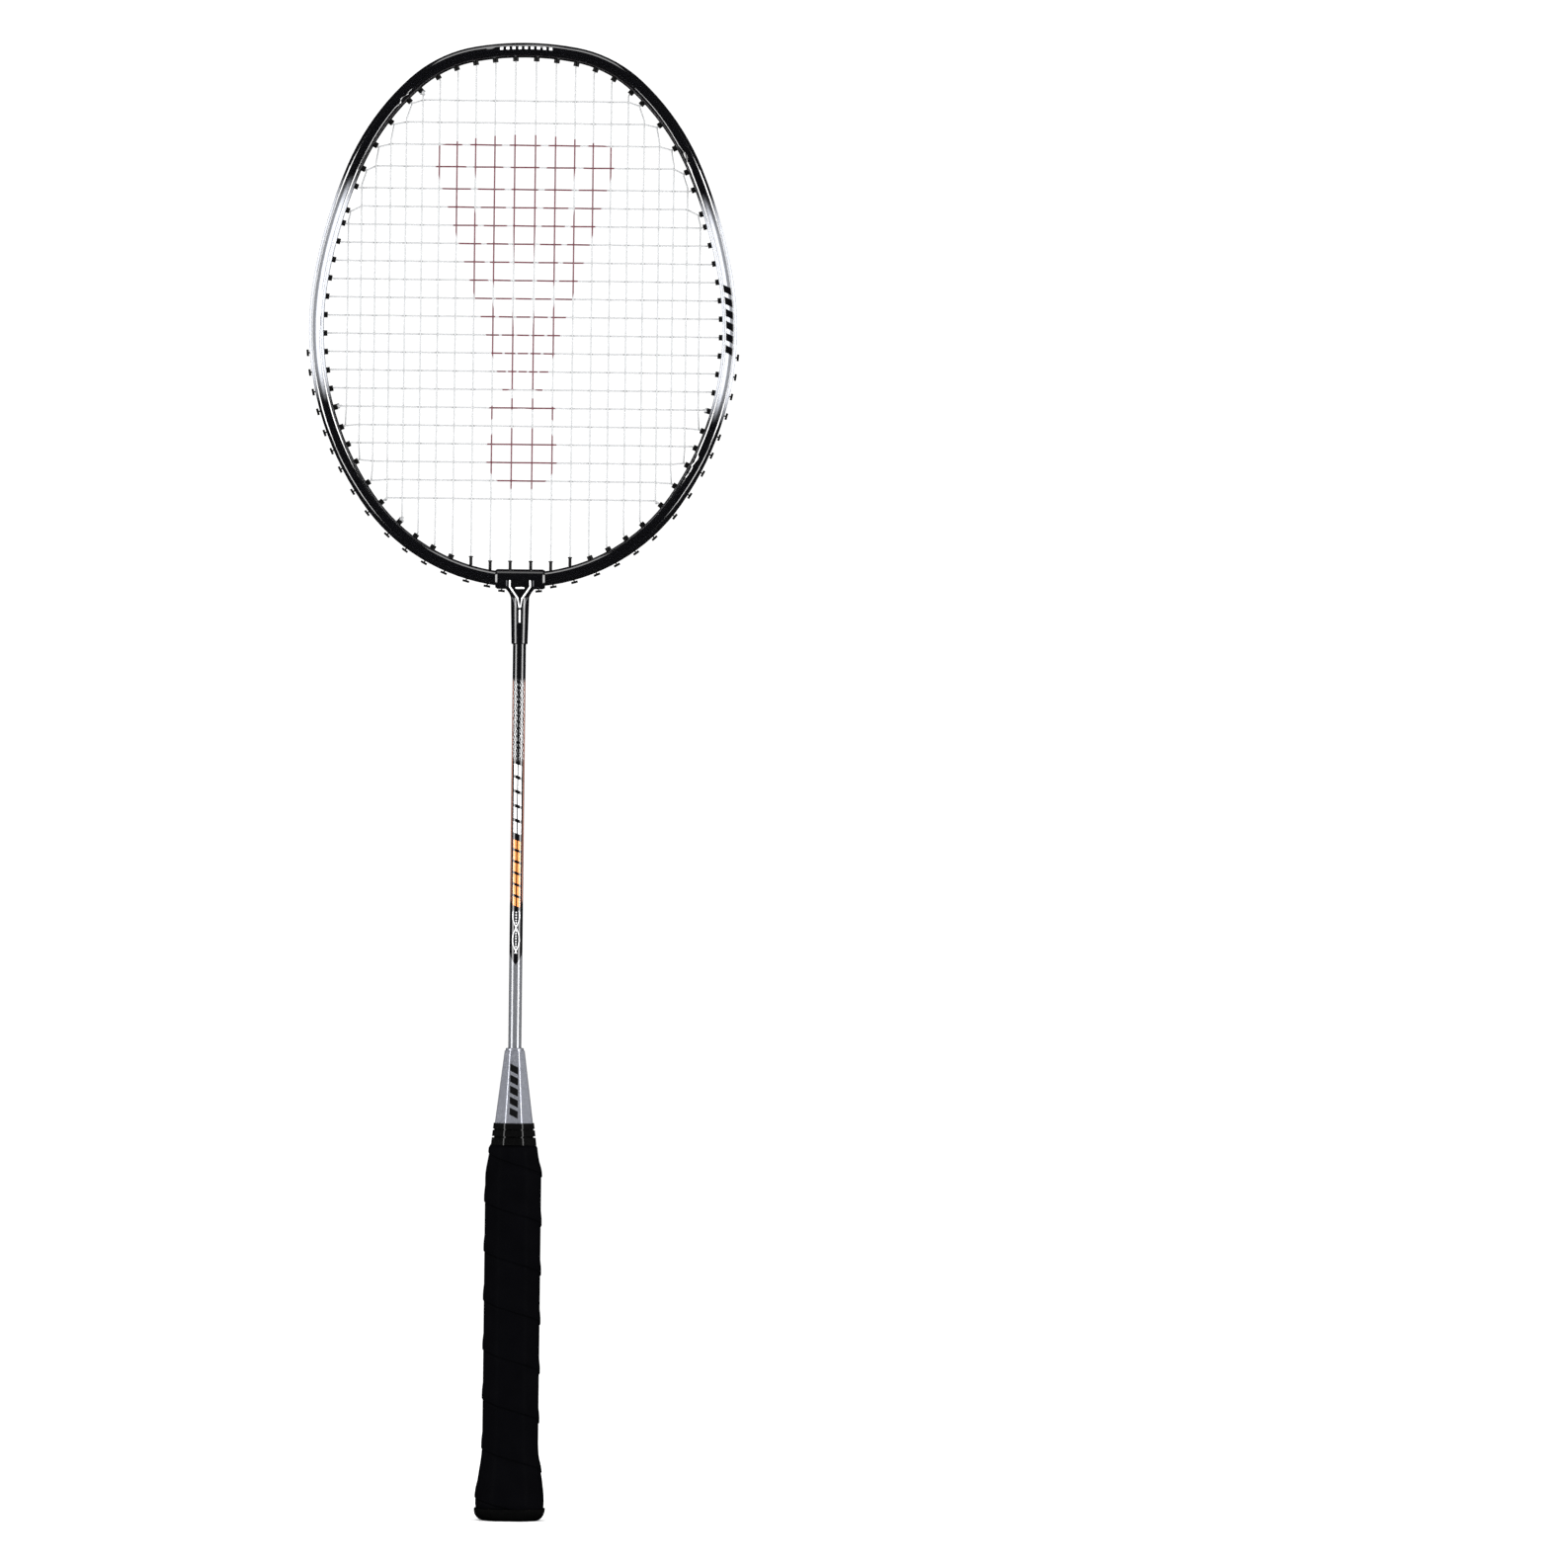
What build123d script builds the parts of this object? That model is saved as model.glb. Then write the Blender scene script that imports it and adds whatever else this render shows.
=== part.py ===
from build123d import *
from math import cos, degrees, radians, sin, tan
import os

os.makedirs("parts", exist_ok=True)

# Badminton racket, standing on its butt: +Z runs up the shaft to the head, X across the head,
# Y square to the string bed. The origin is the middle of the butt's end face. Millimetres.

# --- driving dimensions -------------------------------------------------------------------
OVERALL_LENGTH = 675.0

# Hoop outline, one side from the crown to the throat: tangent arcs as (radius, sweep in degrees).
# The last arc closes the outline on the centre line, so its radius follows from the others.
CROWN_TO_CHEEK_ARCS = [(133.4, 10.0), (59.5, 32.6), (113.5, 24.8), (237.0, 12.5), (140.0, 44.7)]
TUBE_WIDTH = 6.6  # in the plane of the strings
TUBE_DEPTH = 9.6  # square to the strings
TUBE_CORNER = 2.9
TUBE_WALL = 1.0
VOID_CORNER = 1.4
GROOVE_DEPTH = 1.4
GROOVE_WIDTH = 3.4
HOOP_GAP = 1.0  # between the tube's two ends, hidden in the joint

STRING_RADIUS = 0.35
MAINS_PER_SIDE = 11
MAIN_PITCH = 9.49  # at the centre line
MAIN_CLOSING = 0.175  # the pitch shrinks by twice this from one main to the next
CROSSES = 22
FIRST_CROSS_DROP = 26.6  # from the crown's outside to the first cross string
UPPER_CROSS_PITCH = 10.1
UPPER_CROSSES = 5  # strings at the wider pitch
CROSS_PITCH = 8.32
WEAVE = 0.78  # how far a cross string stands off the mains it passes
LANE = 0.45  # mains lie in front of the hoop's mid-plane in the groove, crosses behind it
STRING_LEVEL = 0.5  # depth of a string's centre below the hoop's outline, in the groove
STRING_BEND = 0.8
MOUTH_BEND = 1.5
WEAVE_BEND = 1.5
BEND_BEYOND_MOUTH = 0.8
BED_MARGIN = 1.5  # a main runs straight from this far beyond its first and last cross
TAIL_LENGTH = 2.0  # of a tied-off end, past the grommet's mouth
KNOT_RING = 1.27
KNOT_RADIUS = 0.35

BARREL_RADIUS = 1.3
BORE_RADIUS = 0.9
BARREL_PROUD = 1.7  # inside the hoop
THROAT_BARREL_RADIUS = 0.7
THROAT_BORE_RADIUS = 0.45
THROAT_PROUD = 3.9
THROAT_RIM_RADIUS = 0.95
THROAT_RIM_HEIGHT = 0.6
THROAT_CORNER_RISE = 0.3  # a throat barrel turns upright this far above the tube
HEAD_LENGTH = 3.6
HEAD_WIDTH = 2.8
FLAT_HEAD_TOP = -1.1  # a head sunk in the groove, measured from the outline
# A proud head stands in the groove too, with a leg that carries a pad clear of the tube.
PROUD_BASE_TOP = -0.25
LEG_LENGTH = 0.6
PAD_LENGTH = 3.0
PAD_RISE = 0.5
PAD_THICKNESS = 1.0
TUNNEL_HEIGHT = 1.1
FIT = 0.05

SHAFT_RADIUS = 3.0
SHAFT_BORE = 2.3
SHAFT_TOP = 422.0
SHAFT_FOOT = 75.0

SLEEVE_WALL = 1.2  # in front of the tube and behind it
SLEEVE_HALF_WIDTH = 11.3
SLEEVE_FOOT = 425.5
SLEEVE_TOP = 434.5
SLEEVE_END_LENGTH = 0.9  # each end tapers in over this length
SLEEVE_END_TAPER = 29.0
STEM_TOP_RADIUS = 4.2
STEM_END_RADIUS = 3.7
STEM_END_FILLET = 0.4
STEM_TOP = 421.5
STEM_END = 400.3
SLEEVE_CORNER = 3.6
# The shoulders widen from the stem into the sleeve: (height above the stem, width, depth, corner).
SHOULDER_STATIONS = [(2.6, 10.8, 9.0, 4.2), (5.6, 17.6, 10.6, 4.6)]
CORE_HALF_SPAN = 10.8
CORE_FIT = 0.1
CORE_CORNER = 1.3
WEB_DEPTH = 4.37
WEB_HEIGHT = 8.0
PEG_TOP_DROP = 0.6  # the peg starts this far below the tube's outside
PEG_LENGTH = 26.0

CONE_TOP = 215.8
CONE_END = 181.5
CONE_TOP_WIDTH = 9.1
CONE_END_WIDTH = 17.3
CONE_CORNER = 1.4
LIP_WIDTH = 8.3
LIP_HEIGHT = 1.2
LIP_FILLET = 0.5
COLLAR_END = 171.6
COLLAR_TOP_WIDTH = 18.4
COLLAR_END_WIDTH = 20.7
COLLAR_CORNER = 2.4
RIB_GROOVES = [3.2, 6.6]  # heights above the collar's foot
RIB_GROOVE_WIDTH = 0.8
RIB_GROOVE_WALL = 8.95  # half the width left inside a groove

GRIP_WIDTH = 26.0  # in the plane of the strings
GRIP_DEPTH = 23.4
GRIP_FLARE = 32.4
FLARE_STATIONS = [(9.2, GRIP_FLARE), (18.0, 30.2), (25.0, 27.6), (32.0, GRIP_WIDTH)]
GRIP_SHOULDER = 159.0  # the grip starts to taper toward the collar here
GRIP_TOP_WIDTH = 21.6
GRIP_CORNER = 2.2
OCTAGON_BEVEL = 0.29  # of the depth
WRAP_THICKNESS = 1.8
CORE_NECK_WIDTH = 17.0
CORE_TOP_WIDTH = 16.2
CORE_TOP = 174.6
CORE_EDGE = 0.8
BUTT_HEIGHT = 5.6
BUTT_FILLET = 5.0
SPIGOT_RADIUS = 5.0
SPIGOT_TOP = 16.0
SPIGOT_HOLE_TOP = 20.0
BADGE_RADIUS = 6.0
BADGE_THICKNESS = 0.8
BADGE_SINK = 0.3
BADGE_BEVEL = 0.2
PIN_RADIUS = 1.0
PIN_HEIGHT = 140.0
PIN_LENGTH = 17.8


# --- the hoop's outline -------------------------------------------------------------------
def outline_arcs():
    """Arcs of one side as (centre x, centre z, radius, turn at the start, turn at the end)."""
    x, z, turn, arcs = 0.0, OVERALL_LENGTH, 0.0, []
    for radius, sweep_angle in CROWN_TO_CHEEK_ARCS:
        centre_x = x - radius * sin(radians(turn))
        centre_z = z - radius * cos(radians(turn))
        arcs.append((centre_x, centre_z, radius, turn, turn + sweep_angle))
        turn += sweep_angle
        x = centre_x + radius * sin(radians(turn))
        z = centre_z + radius * cos(radians(turn))
    radius = x / sin(radians(turn))
    arcs.append((0.0, z - radius * cos(radians(turn)), radius, turn, 180.0))
    return arcs


OUTLINE = outline_arcs()
THROAT_CENTRE_Z = OUTLINE[-1][1]
THROAT_RADIUS = OUTLINE[-1][2]
HOOP_BOTTOM = THROAT_CENTRE_Z - THROAT_RADIUS


def outward(turn):
    """Unit vector square to the outline, pointing out of the hoop."""
    return Vector(sin(radians(turn)), 0, cos(radians(turn)))


def hoop_point(turn, inset, y=0.0):
    """Point at a depth below the outline. The turn is 0 at the crown, 180 at the throat, negative at -X."""
    arc = next(a for a in OUTLINE if abs(turn) <= a[4] or a[4] == 180.0)
    x = arc[0] + (arc[2] - inset) * sin(radians(abs(turn)))
    z = arc[1] + (arc[2] - inset) * cos(radians(turn))
    return Vector(x if turn >= 0 else -x, y, z)


def turn_where(still_before, low, high):
    """The turn between low and high where still_before changes from true to false."""
    for _ in range(40):
        middle = (low + high) / 2
        if still_before(middle):
            low = middle
        else:
            high = middle
    return low


def outline_plane(turn, inset=0.0):
    """Plane on the hoop with its normal pointing outward and its y along the racket's Y."""
    normal = outward(turn)
    return Plane(origin=hoop_point(turn, inset), x_dir=Vector(normal.Z, 0, -normal.X), z_dir=normal)


def hoop_path(inset, gap):
    """Wire round the hoop at a depth, from one end at the throat to the other, open by the gap."""
    end_turn = 180 - degrees(gap / 2 / (THROAT_RADIUS - inset))
    turns = [0.0] + [a[4] for a in OUTLINE[:-1]] + [end_turn]
    stations = [-t for t in reversed(turns)] + turns[1:]
    edges = []
    for start, end in zip(stations, stations[1:]):
        points = [hoop_point(t, inset) for t in (start, (start + end) / 2, end)]
        edges.append(Edge.make_three_point_arc(*points))
    return Wire(edges)


def bent_wire(corners):
    """Straight runs joined by tangent arcs, from (point, bend radius) corners."""
    points = [Vector(point) for point, _ in corners]
    edges, previous = [], points[0]
    for before, (point, bend), after in zip(points, corners[1:-1], points[2:]):
        corner = Vector(point)
        back, ahead = before - corner, after - corner
        half_turn = (radians(180) - radians(back.get_angle(ahead))) / 2
        if half_turn < 1e-4:
            continue
        reach = min(bend * tan(half_turn), 0.45 * min(back.length, ahead.length))
        radius = reach / tan(half_turn)
        start = corner + back.normalized() * reach
        end = corner + ahead.normalized() * reach
        inward = (back.normalized() + ahead.normalized()).normalized()
        middle = corner + inward * (radius / cos(half_turn) - radius)
        if (start - previous).length > 1e-4:
            edges.append(Edge.make_line(previous, start))
        edges.append(Edge.make_three_point_arc(start, middle, end))
        previous = end
    edges.append(Edge.make_line(previous, points[-1]))
    return Wire(edges)


# --- string layout ------------------------------------------------------------------------
BEND_INSET = TUBE_WIDTH + BARREL_PROUD + BEND_BEYOND_MOUTH  # where a string turns toward the bed


def main_x(number):
    """Distance of a main string from the centre line: the spacing closes up toward the edge."""
    return MAIN_PITCH * (number + 0.5) - MAIN_CLOSING * (number + 0.5) ** 2


def cross_z(number):
    """Height of a cross string, counted down from the crown."""
    wide = min(number, UPPER_CROSSES - 1)
    return OVERALL_LENGTH - FIRST_CROSS_DROP - wide * UPPER_CROSS_PITCH - (number - wide) * CROSS_PITCH


def main_turn(number, bottom):
    x = main_x(number)
    if bottom:
        return turn_where(lambda t: hoop_point(t, BEND_INSET).X > x, 90, 180)
    return turn_where(lambda t: hoop_point(t, BEND_INSET).X < x, 0, 90)


def cross_turn(number):
    return turn_where(lambda t: hoop_point(t, BEND_INSET).Z > cross_z(number), 0, 180)


# Grommets that hold a main and a cross together, as {main: cross}.
SHARED_ABOVE = {6: 0, 7: 1, 8: 2, 9: 3, 10: 5}
SHARED_BELOW = {10: 17, 9: 19, 8: 20, 7: 21}
SHARED_PULL = 0.6  # how far a shared grommet lies from the main's own place toward the cross's

main_top_turns = [main_turn(n, False) for n in range(MAINS_PER_SIDE)]
main_bottom_turns = [main_turn(n, True) for n in range(MAINS_PER_SIDE)]
cross_turns = [cross_turn(n) for n in range(CROSSES)]
for shared, main_turns in ((SHARED_ABOVE, main_top_turns), (SHARED_BELOW, main_bottom_turns)):
    for main, cross in shared.items():
        meeting = main_turns[main] + SHARED_PULL * (cross_turns[cross] - main_turns[main])
        main_turns[main] = meeting
        cross_turns[cross] = meeting

SHARED_CROSSES = set(SHARED_ABOVE.values()) | set(SHARED_BELOW.values())
THROAT_MAINS = 3
THROAT_TURN_INSET = TUBE_WIDTH + THROAT_CORNER_RISE
FIRST_PROUD_TURN = 93.0  # from here down the grommet heads stand out of the groove
MAIN_TIE_CROSS = 16  # the mains' two ends are tied off in this cross's grommets
CROSS_TIE_UPPER_MAIN = 5  # the crosses' ends are tied off in these mains' grommets
CROSS_TIE_LOWER_MAIN = 6


def both_sides(turns):
    return [side * t for t in turns for side in (-1, 1)]


crown_turns = both_sides([main_top_turns[n] for n in range(min(SHARED_ABOVE))])
shoulder_turns = both_sides([main_top_turns[n] for n in SHARED_ABOVE])
side_turns = both_sides([cross_turns[n] for n in range(CROSSES) if n not in SHARED_CROSSES])
cheek_turns = both_sides([main_bottom_turns[n] for n in SHARED_BELOW])
bottom_turns = both_sides([main_bottom_turns[n] for n in range(THROAT_MAINS, min(SHARED_BELOW))])

# A throat barrel stands upright above the tube, under its main string, and turns inside the wall.
# The innermost pair lean outward through the tube to clear the stem; the others cross it squarely.
INNER_EXIT_X = 8.3
inner_exit_turn = turn_where(lambda t: hoop_point(t, 0).X > INNER_EXIT_X, 90, 180)
inner_corner_z = HOOP_BOTTOM + TUBE_WIDTH + 3 * THROAT_CORNER_RISE
throat_lines = []
for side in (-1, 1):
    throat_lines.append((Vector(side * main_x(0), 0, inner_corner_z), side * inner_exit_turn))
    for number in range(1, THROAT_MAINS):
        square_turn = turn_where(lambda t: hoop_point(t, THROAT_TURN_INSET).X > main_x(number), 90, 180)
        throat_lines.append((hoop_point(side * square_turn, THROAT_TURN_INSET), side * square_turn))


def throat_mouth(corner):
    """Top of the throat barrel that turns at this corner."""
    base = max(corner.Z, SLEEVE_TOP)
    return Vector(corner.X, 0, base + THROAT_PROUD)


def throat_exit(corner, turn, inset):
    """Point on a throat barrel's axis, this far in from the outline."""
    outside = hoop_point(turn, 0)
    return outside + (corner - outside).normalized() * inset


def throat_rod(radius, corner, turn, end_inset, mode=Mode.ADD):
    """A bent rod along a throat barrel, from its mouth to a depth below the outline."""
    end = throat_exit(corner, turn, end_inset)
    path = bent_wire([(throat_mouth(corner), 0), (corner, MOUTH_BEND), (end, 0)])
    with BuildSketch(Plane(origin=path @ 0, z_dir=path % 0)) as section:
        Circle(radius)
    sweep(section.sketch, path=path, mode=mode)


def cut_throat_holes():
    for corner, turn in throat_lines:
        throat_rod(THROAT_BARREL_RADIUS + FIT, corner, turn, -TUBE_WIDTH / 2, Mode.SUBTRACT)


# --- hoop frame: a hollow oval tube with a string groove round its outside -------------------
section_plane = Plane(
    origin=hoop_path(TUBE_WIDTH / 2, HOOP_GAP) @ 0,
    x_dir=outward(-180 + degrees(HOOP_GAP / 2 / (THROAT_RADIUS - TUBE_WIDTH / 2))),
    z_dir=hoop_path(TUBE_WIDTH / 2, HOOP_GAP) % 0,
)
VOID_WIDTH = TUBE_WIDTH - GROOVE_DEPTH - 2 * TUBE_WALL
VOID_DEPTH = TUBE_DEPTH - 2 * TUBE_WALL

with BuildPart() as hoop_frame:
    with BuildSketch(section_plane):
        RectangleRounded(TUBE_WIDTH, TUBE_DEPTH, TUBE_CORNER)
        with Locations((TUBE_WIDTH / 2, 0)):
            Rectangle(2 * GROOVE_DEPTH, GROOVE_WIDTH, mode=Mode.SUBTRACT)
        with Locations((-GROOVE_DEPTH / 2, 0)):
            RectangleRounded(VOID_WIDTH, VOID_DEPTH, VOID_CORNER, mode=Mode.SUBTRACT)
    sweep(path=hoop_path(TUBE_WIDTH / 2, HOOP_GAP))
    with Locations(
        *[
            outline_plane(t)
            for t in crown_turns + shoulder_turns + side_turns + cheek_turns + bottom_turns
        ]
    ):
        Cylinder(BARREL_RADIUS + FIT, 3 * TUBE_WIDTH, mode=Mode.SUBTRACT)
    cut_throat_holes()
hoop_frame.part.label = "hoop_frame"
export_step(hoop_frame.part, "parts/hoop_frame.step")


# --- grommets -----------------------------------------------------------------------------
def head_block(length, bottom, top):
    """A block of a grommet's head between two levels, in the local frame of the outline."""
    with Locations((0, 0, bottom)):
        Box(length, HEAD_WIDTH, top - bottom, align=(Align.CENTER, Align.CENTER, Align.MIN))


def proud_head(turn, pad_rise):
    """A head in the groove, its leg and pad, with a tunnel for the string through the leg."""
    with Locations(outline_plane(turn)):
        head_block(HEAD_LENGTH, FIT - GROOVE_DEPTH, PROUD_BASE_TOP)
        head_block(LEG_LENGTH, PROUD_BASE_TOP, pad_rise)
        head_block(PAD_LENGTH, pad_rise, pad_rise + PAD_THICKNESS)
    with Locations(outline_plane(turn, TUNNEL_HEIGHT / 2)):
        Box(2 * HEAD_LENGTH, 2 * BORE_RADIUS, TUNNEL_HEIGHT, mode=Mode.SUBTRACT)


def grommet_group(turns):
    """Grommets at these turns: a barrel through the tube, a head outside and a string tunnel."""
    with BuildPart() as group:
        for turn in turns:
            if abs(turn) > FIRST_PROUD_TURN:
                proud_head(turn, PAD_RISE)
            else:
                with Locations(outline_plane(turn)):
                    head_block(HEAD_LENGTH, FIT - GROOVE_DEPTH, FLAT_HEAD_TOP)
            with Locations(outline_plane(turn, TUBE_WIDTH + BARREL_PROUD)):
                Cylinder(
                    BARREL_RADIUS,
                    TUBE_WIDTH + BARREL_PROUD - GROOVE_DEPTH + 2 * FIT,
                    align=(Align.CENTER, Align.CENTER, Align.MIN),
                )
                Cylinder(
                    BORE_RADIUS,
                    TUBE_WIDTH + BARREL_PROUD,
                    align=(Align.CENTER, Align.CENTER, Align.MIN),
                    mode=Mode.SUBTRACT,
                )
    return group


for node, turns in (
    ("crown_grommets", crown_turns),
    ("shoulder_grommets", shoulder_turns),
    ("side_grommets", side_turns),
    ("cheek_grommets", cheek_turns),
    ("bottom_grommets", bottom_turns),
):
    grommets = grommet_group(turns)
    grommets.part.label = node
    export_step(grommets.part, f"parts/{node}.step")

with BuildPart() as throat_grommets:
    for corner, turn in throat_lines:
        inner = abs(turn) == inner_exit_turn
        proud_head(turn, PAD_RISE + SLEEVE_WALL if inner else PAD_RISE)
        throat_rod(THROAT_BARREL_RADIUS, corner, turn, GROOVE_DEPTH - 2 * FIT)
        with Locations(throat_mouth(corner)):
            rim_below = (Align.CENTER, Align.CENTER, Align.MAX)
            Cylinder(THROAT_RIM_RADIUS, THROAT_RIM_HEIGHT, align=rim_below)
        throat_rod(THROAT_BORE_RADIUS, corner, turn, STRING_LEVEL, Mode.SUBTRACT)
throat_grommets.part.label = "throat_grommets"
export_step(throat_grommets.part, "parts/throat_grommets.step")

# --- joint core: a metal tee inside the tube's ends, with a peg down into the shaft ------------
bar_half_angle = degrees(CORE_HALF_SPAN / (THROAT_RADIUS - TUBE_WIDTH / 2))
throat_axis = Axis((0, 0, THROAT_CENTRE_Z), (0, 1, 0))
bar_radius = THROAT_RADIUS - TUBE_WIDTH / 2 - GROOVE_DEPTH / 2

with BuildPart() as joint_core:
    with BuildSketch(Plane.YZ):
        with Locations((0, THROAT_CENTRE_Z - bar_radius)):
            RectangleRounded(VOID_DEPTH - 2 * CORE_FIT, VOID_WIDTH - 2 * CORE_FIT, CORE_CORNER)
    revolve(axis=throat_axis, revolution_arc=bar_half_angle)
    mirror(about=Plane.YZ)
    with BuildSketch(Plane.XY.offset(HOOP_BOTTOM + GROOVE_DEPTH + TUBE_WALL + VOID_WIDTH / 2)):
        Rectangle(HOOP_GAP - 2 * CORE_FIT, WEB_DEPTH)
    extrude(amount=-WEB_HEIGHT)
    with BuildSketch(Plane.XY.offset(HOOP_BOTTOM - PEG_TOP_DROP)):
        Circle(SHAFT_BORE - FIT)
    extrude(amount=-PEG_LENGTH)
    cut_throat_holes()
joint_core.part.label = "joint_core"
export_step(joint_core.part, "parts/joint_core.step")

# --- joint cover: the sleeve round the hoop, its shoulders and the tapered stem -----------------
SLEEVE_DEPTH = TUBE_DEPTH + 2 * SLEEVE_WALL
tube_angle = degrees(2 * SLEEVE_HALF_WIDTH / THROAT_RADIUS)

with BuildPart() as joint_cover:
    for direction in (-1, 1):
        straight = direction * (SLEEVE_HALF_WIDTH - SLEEVE_END_LENGTH)
        end = direction * SLEEVE_END_LENGTH
        for start, reach, taper in ((0, straight, 0), (straight, end, SLEEVE_END_TAPER)):
            with BuildSketch(Plane.YZ.offset(start)):
                with Locations((0, (SLEEVE_FOOT + SLEEVE_TOP) / 2)):
                    RectangleRounded(SLEEVE_DEPTH, SLEEVE_TOP - SLEEVE_FOOT, SLEEVE_CORNER)
            extrude(amount=reach, taper=taper)
    with BuildSketch(Plane.XY.offset(STEM_END)):
        Circle(STEM_END_RADIUS)
    with BuildSketch(Plane.XY.offset(STEM_TOP)):
        Circle(STEM_TOP_RADIUS)
    loft()
    fillet(joint_cover.faces().sort_by(Axis.Z)[0].edges(), STEM_END_FILLET)
    with BuildSketch(Plane.XY.offset(STEM_TOP)):
        Circle(STEM_TOP_RADIUS)
    for rise, width, depth, corner_radius in SHOULDER_STATIONS:
        with BuildSketch(Plane.XY.offset(STEM_TOP + rise)):
            RectangleRounded(width, depth, corner_radius)
    loft()
    for direction in (-1, 1):
        with BuildSketch(Plane.YZ):
            with Locations((0, HOOP_BOTTOM + TUBE_WIDTH / 2)):
                RectangleRounded(TUBE_DEPTH + 2 * FIT, TUBE_WIDTH + 2 * FIT, TUBE_CORNER)
        revolve(axis=throat_axis, revolution_arc=direction * tube_angle, mode=Mode.SUBTRACT)
    with BuildSketch(Plane.XY.offset(STEM_END - 1)):
        Circle(SHAFT_RADIUS + FIT)
    extrude(amount=SHAFT_TOP - STEM_END + 1.1, mode=Mode.SUBTRACT)
    with BuildSketch(Plane.XY.offset(SHAFT_TOP)):
        Circle(SHAFT_BORE)
    extrude(amount=HOOP_BOTTOM - SHAFT_TOP, mode=Mode.SUBTRACT)
    cut_throat_holes()
    for side in (-1, 1):
        notch_start = (INNER_EXIT_X - HEAD_LENGTH / 2 - FIT) * side
        with Locations((notch_start, 0, HOOP_BOTTOM + GROOVE_DEPTH)):
            Box(
                2 * SLEEVE_HALF_WIDTH,
                HEAD_WIDTH + 2 * FIT,
                4 * SLEEVE_WALL,
                align=(Align.MIN if side > 0 else Align.MAX, Align.CENTER, Align.MAX),
                mode=Mode.SUBTRACT,
            )
joint_cover.part.label = "joint_cover"
export_step(joint_cover.part, "parts/joint_cover.step")

# --- shaft ----------------------------------------------------------------------------------
with BuildPart() as shaft:
    with BuildSketch(Plane.XY.offset(SHAFT_FOOT)):
        Circle(SHAFT_RADIUS)
        Circle(SHAFT_BORE, mode=Mode.SUBTRACT)
    extrude(amount=SHAFT_TOP - SHAFT_FOOT)
    with Locations(Plane(origin=(0, 0, PIN_HEIGHT), z_dir=(0, 1, 0))):
        Cylinder(PIN_RADIUS + FIT, 4 * SHAFT_RADIUS, mode=Mode.SUBTRACT)
shaft.part.label = "shaft"
export_step(shaft.part, "parts/shaft.step")


# --- handle ---------------------------------------------------------------------------------
def eight_sided(width, depth, corner):
    """An octagon with softened corners: the section of everything on the handle."""
    outline = Rectangle(width, depth)
    beveled = chamfer(outline.vertices(), OCTAGON_BEVEL * depth)
    fillet(beveled.vertices(), corner)


def handle_sections(stations, corner):
    """Octagon sketches up the handle, each station a (height, width) pair."""
    sections = []
    for height, width in stations:
        with BuildSketch(Plane.XY.offset(height)) as section:
            eight_sided(width, width * GRIP_DEPTH / GRIP_WIDTH, corner)
        sections.append(section.sketch)
    return sections


CORE_INSET = 2 * (WRAP_THICKNESS + FIT)
CORE_STATIONS = [(BUTT_HEIGHT, GRIP_FLARE - CORE_INSET)]
CORE_STATIONS += [(height, width - CORE_INSET) for height, width in FLARE_STATIONS]
CORE_STATIONS += [(GRIP_SHOULDER, GRIP_WIDTH - CORE_INSET)]
CORE_STATIONS += [(COLLAR_END, CORE_NECK_WIDTH), (CORE_TOP, CORE_TOP_WIDTH)]

with BuildPart() as handle_core:
    loft(handle_sections(CORE_STATIONS, CORE_EDGE), ruled=True)
    with BuildSketch(Plane.XY.offset(SHAFT_FOOT - FIT)):
        Circle(SHAFT_RADIUS + FIT)
    extrude(amount=CORE_TOP, mode=Mode.SUBTRACT)
    with BuildSketch(Plane.XY):
        Circle(SPIGOT_RADIUS + FIT)
    extrude(amount=SPIGOT_HOLE_TOP, mode=Mode.SUBTRACT)
    with Locations(Plane(origin=(0, 0, PIN_HEIGHT), z_dir=(0, 1, 0))):
        Cylinder(PIN_RADIUS + FIT, 2 * GRIP_DEPTH, mode=Mode.SUBTRACT)
handle_core.part.label = "handle_core"
export_step(handle_core.part, "parts/handle_core.step")

with BuildPart() as handle_pin:
    with Locations(Plane(origin=(0, 0, PIN_HEIGHT), z_dir=(0, 1, 0))):
        Cylinder(PIN_RADIUS, PIN_LENGTH)
handle_pin.part.label = "handle_pin"
export_step(handle_pin.part, "parts/handle_pin.step")

WRAP_TOP = COLLAR_END - FIT
WRAP_STATIONS = [(BUTT_HEIGHT + FIT, GRIP_FLARE)] + FLARE_STATIONS
WRAP_STATIONS += [(GRIP_SHOULDER, GRIP_WIDTH), (WRAP_TOP, GRIP_TOP_WIDTH)]
LINING_STATIONS = [(height, width + 2 * FIT) for height, width in CORE_STATIONS]

with BuildPart() as grip_wrap:
    loft(handle_sections(WRAP_STATIONS, GRIP_CORNER), ruled=True)
    loft(handle_sections(LINING_STATIONS, CORE_EDGE), ruled=True, mode=Mode.SUBTRACT)
grip_wrap.part.label = "grip_wrap"
export_step(grip_wrap.part, "parts/grip_wrap.step")

with BuildPart() as butt_cap:
    with BuildSketch(Plane.XY):
        eight_sided(GRIP_FLARE, GRIP_FLARE * GRIP_DEPTH / GRIP_WIDTH, GRIP_CORNER)
    extrude(amount=BUTT_HEIGHT - FIT)
    fillet(butt_cap.faces().sort_by(Axis.Z)[0].edges(), BUTT_FILLET)
    with BuildSketch(Plane.XY):
        Circle(SPIGOT_RADIUS)
    extrude(amount=SPIGOT_TOP)
    with BuildSketch(Plane.XY):
        Circle(BADGE_RADIUS + FIT)
    extrude(amount=BADGE_THICKNESS + FIT, mode=Mode.SUBTRACT)
butt_cap.part.label = "butt_cap"
export_step(butt_cap.part, "parts/butt_cap.step")

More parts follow.
